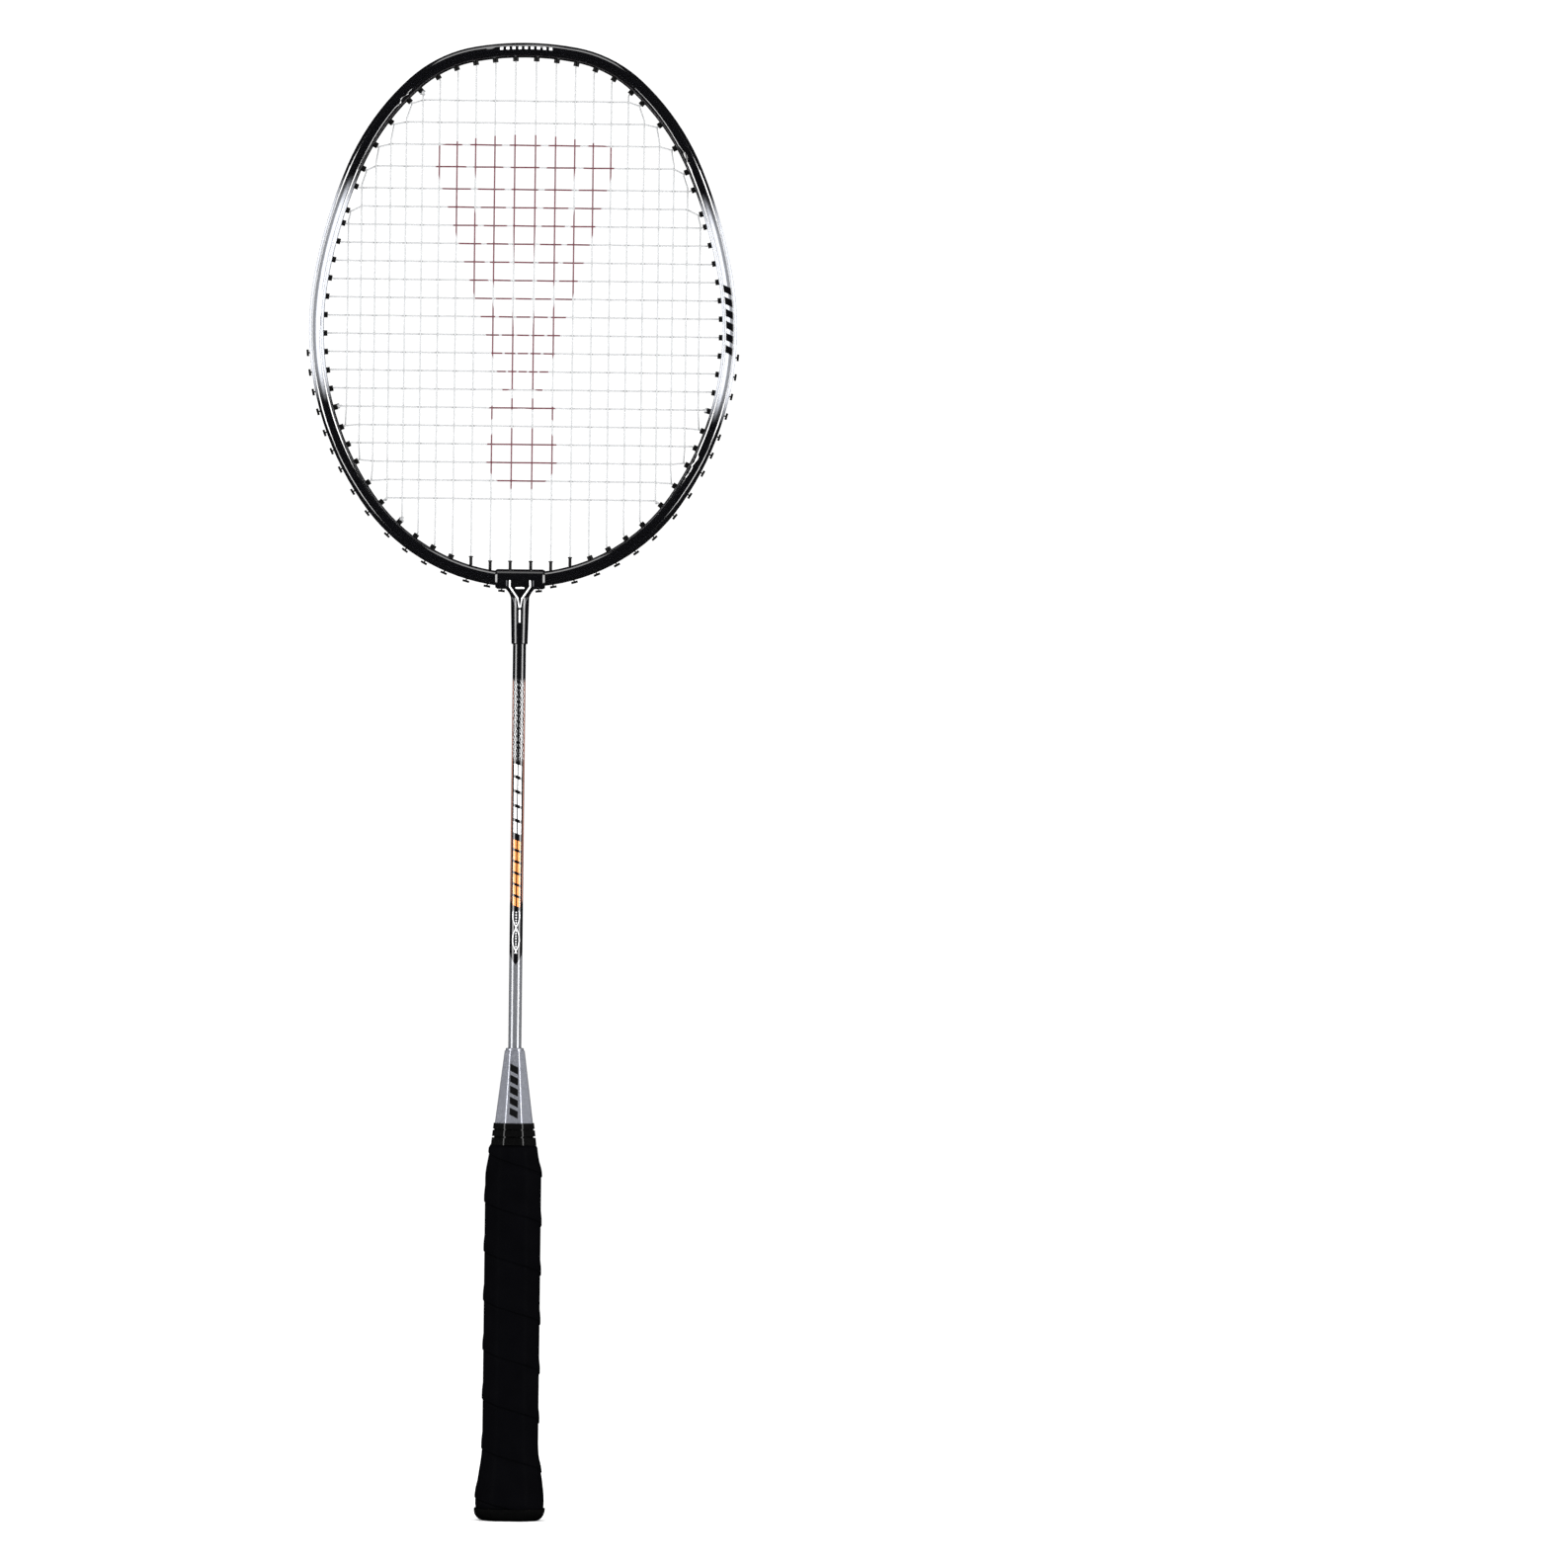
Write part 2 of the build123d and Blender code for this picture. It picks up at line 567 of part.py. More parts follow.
with BuildPart() as butt_badge:
    with BuildSketch(Plane.XY.offset(BADGE_SINK)):
        Circle(BADGE_RADIUS)
    extrude(amount=BADGE_THICKNESS - BADGE_SINK)
    chamfer(butt_badge.faces().sort_by(Axis.Z)[0].edges(), BADGE_BEVEL)
butt_badge.part.label = "butt_badge"
export_step(butt_badge.part, "parts/butt_badge.step")


# --- cone and collar between the handle and the shaft -----------------------------------------
def ring_section(width, corner, mode=Mode.ADD):
    """A nearly square octagon for the cone and the collar."""
    with BuildSketch(mode=Mode.PRIVATE) as octagon:
        outline = Rectangle(width, width)
        beveled = chamfer(outline.vertices(), OCTAGON_BEVEL * width)
        fillet(beveled.vertices(), corner)
    add(octagon.sketch_local, mode=mode)


with BuildPart() as collar_ring:
    for height, width in ((COLLAR_END, COLLAR_END_WIDTH), (CONE_END, COLLAR_TOP_WIDTH)):
        with BuildSketch(Plane.XY.offset(height)):
            ring_section(width, COLLAR_CORNER)
    loft(ruled=True)
    with BuildSketch(Plane.XY.offset(COLLAR_END)):
        ring_section(CORE_NECK_WIDTH + 2 * FIT, CORE_EDGE)
    with BuildSketch(Plane.XY.offset(CORE_TOP + FIT)):
        ring_section(CORE_TOP_WIDTH + 2 * FIT, CORE_EDGE)
    loft(ruled=True, mode=Mode.SUBTRACT)
    with BuildSketch(Plane.XY.offset(CORE_TOP)):
        Circle(SHAFT_RADIUS + FIT)
    extrude(amount=CONE_END - CORE_TOP, mode=Mode.SUBTRACT)
    for rise in RIB_GROOVES:
        with BuildSketch(Plane.XY.offset(COLLAR_END + rise)):
            Circle(COLLAR_END_WIDTH)
            ring_section(2 * RIB_GROOVE_WALL, COLLAR_CORNER, Mode.SUBTRACT)
        extrude(amount=RIB_GROOVE_WIDTH, mode=Mode.SUBTRACT)
collar_ring.part.label = "collar_ring"
export_step(collar_ring.part, "parts/collar_ring.step")

with BuildPart() as cone_cap:
    for height, width in ((CONE_END + FIT, CONE_END_WIDTH), (CONE_TOP - LIP_HEIGHT, CONE_TOP_WIDTH)):
        with BuildSketch(Plane.XY.offset(height)):
            ring_section(width, CONE_CORNER)
    loft(ruled=True)
    with BuildSketch(Plane.XY.offset(CONE_TOP - LIP_HEIGHT)):
        Circle(LIP_WIDTH / 2)
    extrude(amount=LIP_HEIGHT)
    fillet(cone_cap.faces().sort_by(Axis.Z)[-1].edges(), LIP_FILLET)
    with BuildSketch(Plane.XY.offset(CONE_END)):
        Circle(SHAFT_RADIUS + FIT)
    extrude(amount=CONE_TOP - CONE_END + 1, mode=Mode.SUBTRACT)
cone_cap.part.label = "cone_cap"
export_step(cone_cap.part, "parts/cone_cap.step")


# --- strings --------------------------------------------------------------------------------
def grommet_corners(turn, lane):
    """A string's two corners at a grommet: out in the groove, then just inside the mouth."""
    return [
        (hoop_point(turn, STRING_LEVEL, lane), STRING_BEND),
        (hoop_point(turn, BEND_INSET, lane), MOUTH_BEND),
    ]


def bed_crosses(x):
    """Heights of the cross strings that run past a main at this distance from the centre."""
    return [cross_z(n) for n in range(CROSSES) if hoop_point(cross_turns[n], BEND_INSET).X > x + 0.5]


def main_corners(number, side):
    """Corners of one main string from its crown end down to its throat end."""
    x = side * main_x(number)
    heights = bed_crosses(main_x(number))
    top = grommet_corners(side * main_top_turns[number], LANE)
    start = (x, 0, heights[0] + BED_MARGIN)
    end = (x, 0, heights[-1] - BED_MARGIN)
    bed = [(start, MOUTH_BEND), (end, MOUTH_BEND)]
    if number < THROAT_MAINS:
        corner, turn = [(c, t) for c, t in throat_lines if side * t > 0][number]
        exit_point = throat_exit(corner, turn, STRING_LEVEL)
        mouth = throat_mouth(corner)
        return top + bed + [(mouth, MOUTH_BEND), (corner, MOUTH_BEND), (exit_point, STRING_BEND)]
    return top + bed + grommet_corners(side * main_bottom_turns[number], LANE)[::-1]


def tail(turn, lane):
    """The tied-off end of a string: in from the groove through one more grommet."""
    end = hoop_point(turn, TUBE_WIDTH + BARREL_PROUD + TAIL_LENGTH, lane)
    return grommet_corners(turn, lane)[:1] + [(end, 0)]


main_tie_turn = cross_turns[MAIN_TIE_CROSS]
main_route = []
for number in range(MAINS_PER_SIDE):
    run = main_corners(number, 1)
    main_route += run if number % 2 == 0 else run[::-1]
main_route += tail(main_tie_turn, LANE)
mirrored = [((-Vector(p).X, Vector(p).Y, Vector(p).Z), bend) for p, bend in reversed(main_route)]
main_wire = bent_wire(mirrored + main_route)

with BuildPart() as main_string:
    with BuildSketch(Plane(origin=main_wire @ 0, z_dir=main_wire % 0)):
        Circle(STRING_RADIUS)
    sweep(path=main_wire)
main_string.part.label = "main_string"
export_step(main_string.part, "parts/main_string.step")

cross_tie_above = -main_top_turns[CROSS_TIE_UPPER_MAIN]
cross_tie_below = -main_bottom_turns[CROSS_TIE_LOWER_MAIN]
signed_mains = sorted(side * main_x(n) for n in range(MAINS_PER_SIDE) for side in (-1, 1))
cross_route = tail(cross_tie_above, -LANE)[::-1]
for number in range(CROSSES):
    turn, z = cross_turns[number], cross_z(number)
    reach_x = hoop_point(turn, BEND_INSET).X
    run = grommet_corners(-turn, -LANE)
    for index, x in enumerate(signed_mains):
        if abs(x) < reach_x - 0.5:
            run.append(((x, WEAVE if (index + number) % 2 else -WEAVE, z), WEAVE_BEND))
    run += grommet_corners(turn, -LANE)[::-1]
    cross_route += run if number % 2 == 0 else run[::-1]
cross_route += tail(cross_tie_below, -LANE)
cross_wire = bent_wire(cross_route)

with BuildPart() as cross_string:
    with BuildSketch(Plane(origin=cross_wire @ 0, z_dir=cross_wire % 0)):
        Circle(STRING_RADIUS)
    sweep(path=cross_wire)
cross_string.part.label = "cross_string"
export_step(cross_string.part, "parts/cross_string.step")

print(f"main string {main_wire.length:.0f} mm, cross string {cross_wire.length:.0f} mm")

with BuildPart() as string_knots:
    for turn in (main_tie_turn, -main_tie_turn, cross_tie_above, cross_tie_below):
        with Locations(outline_plane(turn, TUBE_WIDTH + BARREL_PROUD + KNOT_RADIUS + FIT)):
            Torus(KNOT_RING, KNOT_RADIUS)
string_knots.part.label = "string_knots"
export_step(string_knots.part, "parts/string_knots.step")
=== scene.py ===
import math
import bpy
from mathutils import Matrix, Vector


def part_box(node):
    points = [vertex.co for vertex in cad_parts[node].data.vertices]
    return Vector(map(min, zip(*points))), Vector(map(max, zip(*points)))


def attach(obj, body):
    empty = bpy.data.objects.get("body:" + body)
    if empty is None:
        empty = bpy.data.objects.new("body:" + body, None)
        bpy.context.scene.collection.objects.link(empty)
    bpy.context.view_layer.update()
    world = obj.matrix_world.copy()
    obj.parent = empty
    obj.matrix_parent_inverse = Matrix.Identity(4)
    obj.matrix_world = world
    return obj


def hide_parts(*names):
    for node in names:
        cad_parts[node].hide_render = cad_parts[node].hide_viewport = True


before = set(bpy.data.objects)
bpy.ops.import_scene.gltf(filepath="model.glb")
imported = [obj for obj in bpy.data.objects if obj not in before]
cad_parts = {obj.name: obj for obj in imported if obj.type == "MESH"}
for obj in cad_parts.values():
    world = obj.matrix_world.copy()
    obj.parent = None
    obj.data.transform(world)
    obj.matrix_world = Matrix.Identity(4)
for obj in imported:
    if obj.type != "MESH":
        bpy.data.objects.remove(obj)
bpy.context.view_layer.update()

MM = 0.001

# Places on the racket, in metres, read from the frame.
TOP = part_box("hoop_frame")[1][2]
JOINT_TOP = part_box("joint_cover")[1][2]
CONE_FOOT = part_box("cone_cap")[0][2]
WRAP_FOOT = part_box("grip_wrap")[0][2]
WRAP_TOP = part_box("grip_wrap")[1][2]
SHAFT_RADIUS = 3 * MM


# --- a small kit for procedural materials ----------------------------------------------------
class Shader:
    """A node material under construction. Values are sockets or plain numbers."""

    def __init__(self, name):
        self.material = bpy.data.materials.new(name)
        self.material.use_nodes = True
        self.nodes = self.material.node_tree.nodes
        self.links = self.material.node_tree.links
        self.bsdf = self.nodes["Principled BSDF"]
        self.place = self.nodes.new("ShaderNodeTexCoord").outputs["Object"]
        split = self.nodes.new("ShaderNodeSeparateXYZ")
        self.links.new(self.place, split.inputs[0])
        self.x, self.y, self.z = split.outputs

    def feed(self, socket, value):
        if isinstance(value, bpy.types.NodeSocket):
            self.links.new(value, socket)
        else:
            socket.default_value = value

    def set(self, **values):
        """Set sockets of the surface shader, with underscores for spaces."""
        for name, value in values.items():
            self.feed(self.bsdf.inputs[name.replace("_", " ")], value)

    def math(self, operation, *values, clamp=False):
        node = self.nodes.new("ShaderNodeMath")
        node.operation = operation
        node.use_clamp = clamp
        for socket, value in zip(node.inputs, values):
            self.feed(socket, value)
        return node.outputs[0]

    def mix(self, factor, low, high):
        """Blend two colours."""
        node = self.nodes.new("ShaderNodeMix")
        node.data_type = "RGBA"
        self.feed(node.inputs["Factor"], factor)
        self.feed(node.inputs["A"], low)
        self.feed(node.inputs["B"], high)
        return node.outputs["Result"]

    def step(self, value, edge, soft=0.1 * MM):
        """0 below the edge and 1 above it."""
        node = self.nodes.new("ShaderNodeMapRange")
        node.interpolation_type = "SMOOTHSTEP"
        self.feed(node.inputs["Value"], value)
        node.inputs["From Min"].default_value = edge - soft
        node.inputs["From Max"].default_value = edge + soft
        return node.outputs["Result"]

    def band(self, value, low, high, soft=0.1 * MM):
        """1 between two edges and 0 outside them."""
        return self.math("SUBTRACT", self.step(value, low, soft), self.step(value, high, soft))

    def length(self, u, v):
        """Length of the vector (u, v)."""
        squares = self.math("ADD", self.math("MULTIPLY", u, u), self.math("MULTIPLY", v, v))
        return self.math("SQRT", squares)

    def without(self, mask):
        """The opposite of a mask."""
        return self.math("SUBTRACT", 1, mask)

    def front(self):
        """1 on the side of the racket that faces the camera."""
        return self.without(self.step(self.y, 0))

    def beats(self, value, start, pitch, low, high, soft=0.03):
        """Repeating bands along a value, each from the low to the high share of a pitch."""
        along = self.math("DIVIDE", self.math("SUBTRACT", value, start), pitch)
        return self.band(self.math("FRACT", along), low, high, soft)

    def all_of(self, *masks):
        """1 where every mask is 1."""
        product = masks[0]
        for mask in masks[1:]:
            product = self.math("MULTIPLY", product, mask)
        return product

    def any_of(self, *masks):
        """1 where any mask is 1."""
        highest = masks[0]
        for mask in masks[1:]:
            highest = self.math("MAXIMUM", highest, mask)
        return highest

    def line(self, u, v, start, end, width, soft=0.08 * MM):
        """A stroke between two points of the (u, v) plane."""
        du, dv = end[0] - start[0], end[1] - start[1]
        length_squared = du * du + dv * dv
        u0 = self.math("SUBTRACT", u, start[0])
        v0 = self.math("SUBTRACT", v, start[1])
        along = self.math("ADD", self.math("MULTIPLY", u0, du), self.math("MULTIPLY", v0, dv))
        share = self.math("DIVIDE", along, length_squared, clamp=True)
        across = self.math("SUBTRACT", u0, self.math("MULTIPLY", share, du))
        ahead = self.math("SUBTRACT", v0, self.math("MULTIPLY", share, dv))
        distance = self.length(across, ahead)
        return self.without(self.step(distance, width / 2, soft))

    def noise(self, scale, detail=3.0, stretch=(1, 1, 1)):
        """Fine noise; the scale is in features per metre."""
        mapping = self.nodes.new("ShaderNodeMapping")
        mapping.inputs["Scale"].default_value = stretch
        self.links.new(self.place, mapping.inputs["Vector"])
        node = self.nodes.new("ShaderNodeTexNoise")
        node.inputs["Scale"].default_value = scale
        node.inputs["Detail"].default_value = detail
        self.links.new(mapping.outputs[0], node.inputs["Vector"])
        return node.outputs["Fac"]

    def cells(self, scale):
        """Distance to the nearest of many scattered points."""
        node = self.nodes.new("ShaderNodeTexVoronoi")
        node.inputs["Scale"].default_value = scale
        self.links.new(self.place, node.inputs["Vector"])
        return node.outputs["Distance"]

    def spread(self, value, low, high):
        """Map 0..1 noise to a range."""
        node = self.nodes.new("ShaderNodeMapRange")
        self.feed(node.inputs["Value"], value)
        node.inputs["From Min"].default_value = 0.25
        node.inputs["From Max"].default_value = 0.75
        node.inputs["To Min"].default_value = low
        node.inputs["To Max"].default_value = high
        return node.outputs["Result"]

    def bump(self, height, strength, distance):
        """Roughen the surface by a height pattern and hand back the finished material."""
        node = self.nodes.new("ShaderNodeBump")
        node.inputs["Strength"].default_value = strength
        node.inputs["Distance"].default_value = distance
        self.feed(node.inputs["Height"], height)
        self.links.new(node.outputs[0], self.bsdf.inputs["Normal"])
        return self.material


def grey(level):
    return (level, level, level, 1)


BLACK = (0.0014, 0.0014, 0.0020, 1)
WHITE_INK = (0.86, 0.87, 0.88, 1)
GREY_INK = (0.075, 0.077, 0.082, 1)
COPPER_INK = (0.34, 0.15, 0.11, 1)
ORANGE_INK = (0.74, 0.25, 0.07, 1)
RED_INK = (0.085, 0.005, 0.015, 1)


def silver_flake(shader, low, high):
    """Silver paint, sparkling a little between two levels."""
    flake = shader.spread(shader.noise(9000, 1), 0, 1)
    return shader.mix(flake, (low, low * 1.03, low * 1.12, 1), (high, high * 1.03, high * 1.1, 1))


# --- hoop paint: black, with a silver stretch down each side ---------------------------------
# Heights are in metres above the foot of the butt.
SILVER_FOOT = 0.5150
SILVER_TOP = 0.6010
SILVER_FADE = 10 * MM
SILVER_TILT = 0.043  # the silver lies this much lower for each metre to the right
# The middle of the tube on the two arcs that are silver: centre x, centre z and radius.
UPPER_ARC = (-0.1376, 0.5272, 0.2337)
LOWER_ARC = (-0.0422, 0.5442, 0.1367)
ARC_JOIN = 0.5688
# Two grey lines of painted shade follow the silver, each between two distances across the tube:
# darker silver where the tube would reflect no light.
BROAD_SHADE_BAND = (0, 2.2 * MM)
THIN_SHADE_BAND = (-2.5 * MM, -1.4 * MM)
BARS_FOOT = 0.5330
BAR_PITCH = 5.5 * MM
BAR_COUNT = 6
BAR_HALF_WIDTH = 1.9 * MM
DASH_FOOT = TOP - 3.0 * MM
DASH_TOP = TOP - 1.8 * MM
DASH_PITCH = 2.8 * MM
DASH_COUNT = 9
CROWN_SAG = 3.75  # the crown drops by this times the square of x


def silver_stretch(shader):
    """1 where the hoop is silver, with soft and slightly ragged ends."""
    level = shader.math("ADD", shader.z, shader.math("MULTIPLY", shader.x, SILVER_TILT))
    ragged = shader.math("MULTIPLY", shader.math("SUBTRACT", shader.noise(900, 2), 0.5), 1.5 * MM)
    return shader.band(shader.math("ADD", level, ragged), SILVER_FOOT, SILVER_TOP, SILVER_FADE)


def across_tube(shader):
    """Distance outward from the middle of the tube, where the hoop is silver."""
    side = shader.math("ABSOLUTE", shader.x)

    def off_arc(centre_x, centre_z, radius):
        arc_x = shader.math("SUBTRACT", side, centre_x)
        arc_z = shader.math("SUBTRACT", shader.z, centre_z)
        return shader.math("SUBTRACT", shader.length(arc_x, arc_z), radius)

    above = shader.step(shader.z, ARC_JOIN)
    upper = shader.math("MULTIPLY", off_arc(*UPPER_ARC), above)
    lower = shader.math("MULTIPLY", off_arc(*LOWER_ARC), shader.without(above))
    return shader.math("ADD", upper, lower)


def side_bars(shader, across):
    """A run of slanted bars on the right-hand silver stretch."""
    slant = shader.math("ADD", shader.z, shader.math("MULTIPLY", across, 0.5))
    return shader.all_of(
        shader.band(across, -BAR_HALF_WIDTH, BAR_HALF_WIDTH),
        shader.band(slant, BARS_FOOT, BARS_FOOT + BAR_COUNT * BAR_PITCH),
        shader.beats(slant, BARS_FOOT, BAR_PITCH, 0.14, 0.76),
        shader.step(shader.x, 0),
        shader.front(),
    )


def crown_dashes(shader):
    """A row of small dashes along the crown."""
    sag = shader.math("MULTIPLY", shader.math("MULTIPLY", shader.x, shader.x), CROWN_SAG)
    row_end = DASH_COUNT * DASH_PITCH / 2
    return shader.all_of(
        shader.band(shader.math("ADD", shader.z, sag), DASH_FOOT, DASH_TOP),
        shader.band(shader.x, -row_end, row_end),
        shader.beats(shader.x, -row_end, DASH_PITCH, 0.25, 0.75),
        shader.front(),
    )


def hoop_paint():
    shader = Shader("hoop_paint")
    silver = silver_stretch(shader)
    across = across_tube(shader)
    # Painted shade: along the two lines the silver is a darker copy with less metal and coat,
    # standing for where the tube reflects no light.
    broad_painted_shade = shader.band(across, *BROAD_SHADE_BAND, 0.4 * MM)
    thin_painted_shade = shader.math("MULTIPLY", shader.band(across, *THIN_SHADE_BAND, 0.3 * MM), 0.8)
    lines = shader.any_of(broad_painted_shade, thin_painted_shade)
    bright = silver_flake(shader, 0.60, 0.74)
    shaded_silver = silver_flake(shader, 0.11, 0.15)
    silver_with_painted_shade = shader.mix(lines, bright, shaded_silver)
    bars = side_bars(shader, across)
    colour = shader.mix(silver, BLACK, silver_with_painted_shade)
    colour = shader.mix(bars, colour, BLACK)
    colour = shader.mix(crown_dashes(shader), colour, WHITE_INK)
    metal = shader.all_of(silver, shader.without(bars), shader.without(lines), 0.2)
    coat = shader.without(shader.all_of(silver, lines, 0.8))
    shader.set(Base_Color=colour, Metallic=metal)
    shader.set(Coat_Weight=coat, Coat_Roughness=0.06, Coat_IOR=2.0)
    shader.set(Roughness=shader.spread(shader.noise(9000, 1), 0.12, 0.18), Specular_IOR_Level=0.3)
    return shader.bump(shader.noise(2500, 2), 0.05, 0.02 * MM)


# --- the T-joint: gloss black with a white Y of lines on its front ---------------------------
def joint_paint():
    shader = Shader("joint_paint")
    side = shader.math("ABSOLUTE", shader.x)
    below = shader.math("SUBTRACT", shader.z, JOINT_TOP)

    def stroke(start, end, width):
        """A stroke given in millimetres, out from the axis and up from the joint's top."""
        ends = [(across * MM, down * MM) for across, down in (start, end)]
        return shader.line(side, below, *ends, width * MM)

    white = shader.any_of(
        stroke((4.6, -5.4), (4.7, -8.0), 0.7),
        stroke((4.7, -8.0), (0.95, -13.4), 0.65),
        stroke((0.95, -13.4), (0.3, -17.4), 0.4),
        stroke((0, -18.9), (0, -24.0), 0.75),
        stroke((0, -8.6), (1.7, -8.6), 0.7),
    )
    faint = shader.any_of(
        stroke((6.1, -5.4), (6.1, -7.6), 0.5),
        stroke((3.4, -13.0), (1.5, -17.4), 0.4),
    )
    colour = shader.mix(shader.all_of(faint, shader.front()), BLACK, GREY_INK)
    colour = shader.mix(shader.all_of(white, shader.front()), colour, WHITE_INK)
    shader.set(Base_Color=colour, Coat_Weight=0.4, Coat_Roughness=0.06)
    shader.set(Roughness=shader.spread(shader.noise(600), 0.16, 0.26))
    return shader.bump(shader.noise(1200, 2), 0.06, 0.03 * MM)


# --- the shaft: black, patterned, then silver below a V --------------------------------------
# The foot and the top of each pattern, in metres above the foot of the butt.
SCRATCHES = (0.3475, 0.3835)
EDGE_LINES = (0.2830, 0.3835)
WHITE_BLOCKS = (0.3130, 0.3460)
ORANGE_BLOCKS = (0.2800, 0.3112)
CURVES = (0.2590, 0.2785)
V_POINT = 0.2538
V_STEEPNESS = 1.4  # how much the V rises for each metre around from its point
WHITE_PITCH = 6.6 * MM
ORANGE_PITCH = 5.2 * MM
BLOCK_SIDES = (0.3 * MM, 1.8 * MM)  # inner and outer edge, away from the front line
CURVE_TURN = 290  # radians of the curves' swing for each metre
CURVE_SWING = 1.7 * MM


def shaft_scratches(shader, around, side):
    """Fine crossing scratches near the top."""
    wander = shader.math("MULTIPLY", shader.noise(420, 2), 3.2 * MM)
    rising = shader.math("ADD", shader.math("MULTIPLY", around, 1.9), wander)
    falling = shader.math("SUBTRACT", wander, shader.math("MULTIPLY", around, 2.6))
    return shader.all_of(
        shader.any_of(
            shader.beats(shader.math("ADD", shader.z, rising), 0, 2.3 * MM, 0.2, 0.3, 0.05),
            shader.beats(shader.math("ADD", shader.z, falling), 0, 3.1 * MM, 0.2, 0.27, 0.05),
        ),
        shader.band(shader.z, *SCRATCHES, 1.5 * MM),
        shader.band(side, 0.5 * MM, 3.4 * MM, 0.3 * MM),
    )


def shaft_blocks(shader, around, side, stretch, pitch, soft):
    """Slanted blocks in pairs down the front."""
    slant = shader.math("ADD", shader.z, shader.math("MULTIPLY", around, 0.35))
    return shader.all_of(
        shader.band(side, *BLOCK_SIDES),
        shader.band(slant, *stretch),
        shader.beats(slant, stretch[0], pitch, 0.12, 0.88, soft),
    )


def shaft_curves(shader, around, side):
    """Two fine curved lines crossing over a dotted one."""
    wave = shader.math("SINE", shader.math("MULTIPLY", shader.z, CURVE_TURN))
    swing = shader.math("MULTIPLY", wave, CURVE_SWING)
    curve_a = shader.math("ABSOLUTE", shader.math("SUBTRACT", around, swing))
    curve_b = shader.math("ABSOLUTE", shader.math("ADD", around, swing))
    nearest = shader.math("MINIMUM", curve_a, curve_b)
    curves = shader.without(shader.step(nearest, 0.17 * MM, 0.05 * MM))
    dots = shader.all_of(
        shader.without(shader.step(side, 0.25 * MM, 0.05 * MM)),
        shader.beats(shader.z, 0, 1.2 * MM, 0.2, 0.7, 0.05),
    )
    return shader.all_of(shader.any_of(curves, dots), shader.band(shader.z, *CURVES))


def shaft_paint():
    shader = Shader("shaft_paint")
    angle = shader.math("ARCTAN2", shader.x, shader.math("MULTIPLY", shader.y, -1))
    around = shader.math("MULTIPLY", angle, SHAFT_RADIUS)
    side = shader.math("ABSOLUTE", around)
    v_edge = shader.math("SUBTRACT", shader.z, shader.math("MULTIPLY", side, V_STEEPNESS))
    silver = shader.without(shader.step(v_edge, V_POINT))
    # A coppery line runs up each side of the patterns.
    edge_lines = shader.all_of(
        shader.band(side, 2.9 * MM, 3.5 * MM), shader.band(shader.z, *EDGE_LINES, 1.5 * MM)
    )
    white_blocks = shaft_blocks(shader, around, side, WHITE_BLOCKS, WHITE_PITCH, 0.015)
    orange_blocks = shaft_blocks(shader, around, side, ORANGE_BLOCKS, ORANGE_PITCH, 0.02)
    curves = shaft_curves(shader, around, side)
    colour = shader.mix(silver, BLACK, silver_flake(shader, 0.12, 0.16))
    colour = shader.mix(shaft_scratches(shader, around, side), colour, WHITE_INK)
    colour = shader.mix(edge_lines, colour, COPPER_INK)
    colour = shader.mix(shader.any_of(white_blocks, curves), colour, WHITE_INK)
    colour = shader.mix(orange_blocks, colour, ORANGE_INK)
    metal = shader.math("MULTIPLY", silver, 0.4)
    shader.set(Base_Color=colour, Metallic=metal, Coat_Weight=0.5, Coat_Roughness=0.05)
    shader.set(Roughness=shader.spread(shader.noise(9000, 1), 0.16, 0.24))
    return shader.bump(shader.noise(2500, 2), 0.05, 0.02 * MM)


# --- cone, collar, grommets, butt and the hidden parts ---------------------------------------
CONE_MARKS_FOOT = CONE_FOOT + 2.5 * MM
CONE_MARK_PITCH = 5.0 * MM
CONE_MARK_COUNT = 5
CONE_MARK_HALF_WIDTH = 1.9 * MM


def cone_paint():
    shader = Shader("cone_paint")
    flake = shader.spread(shader.noise(2600, 1), 0, 1)
    tone = shader.mix(flake, (0.13, 0.135, 0.16, 1), (0.34, 0.35, 0.39, 1))
    slant = shader.math("ADD", shader.z, shader.math("MULTIPLY", shader.x, 0.5))
    marks_top = CONE_MARKS_FOOT + CONE_MARK_COUNT * CONE_MARK_PITCH
    marks = shader.all_of(
        shader.beats(slant, CONE_MARKS_FOOT, CONE_MARK_PITCH, 0.1, 0.78),
        shader.band(shader.x, -CONE_MARK_HALF_WIDTH, CONE_MARK_HALF_WIDTH),
        shader.band(slant, CONE_MARKS_FOOT, marks_top),
        shader.front(),
    )
    shader.set(Base_Color=shader.mix(marks, tone, BLACK))
    shader.set(Metallic=shader.math("MULTIPLY", shader.without(marks), 0.6))
    shader.set(Roughness=shader.spread(shader.noise(14000, 0), 0.22, 0.4))
    shader.set(Coat_Weight=0.5, Coat_Roughness=0.08)
    return shader.bump(shader.noise(8000, 1), 0.15, 0.03 * MM)


def gloss_plastic(name):
    shader = Shader(name)
    tone = shader.mix(shader.noise(400), grey(0.001), grey(0.0022))
    shader.set(Base_Color=tone, Roughness=shader.spread(shader.noise(900), 0.14, 0.28))
    shader.set(Specular_IOR_Level=0.15, Coat_Weight=0.1)
    return shader.bump(shader.noise(1500, 2), 0.08, 0.03 * MM)


def matte_plastic(name):
    shader = Shader(name)
    tone = shader.mix(shader.noise(700), grey(0.0008), grey(0.0016))
    shader.set(Base_Color=tone, Roughness=shader.spread(shader.noise(1500), 0.45, 0.65))
    shader.set(Specular_IOR_Level=0.02)
    return shader.bump(shader.noise(4000, 2), 0.25, 0.05 * MM)


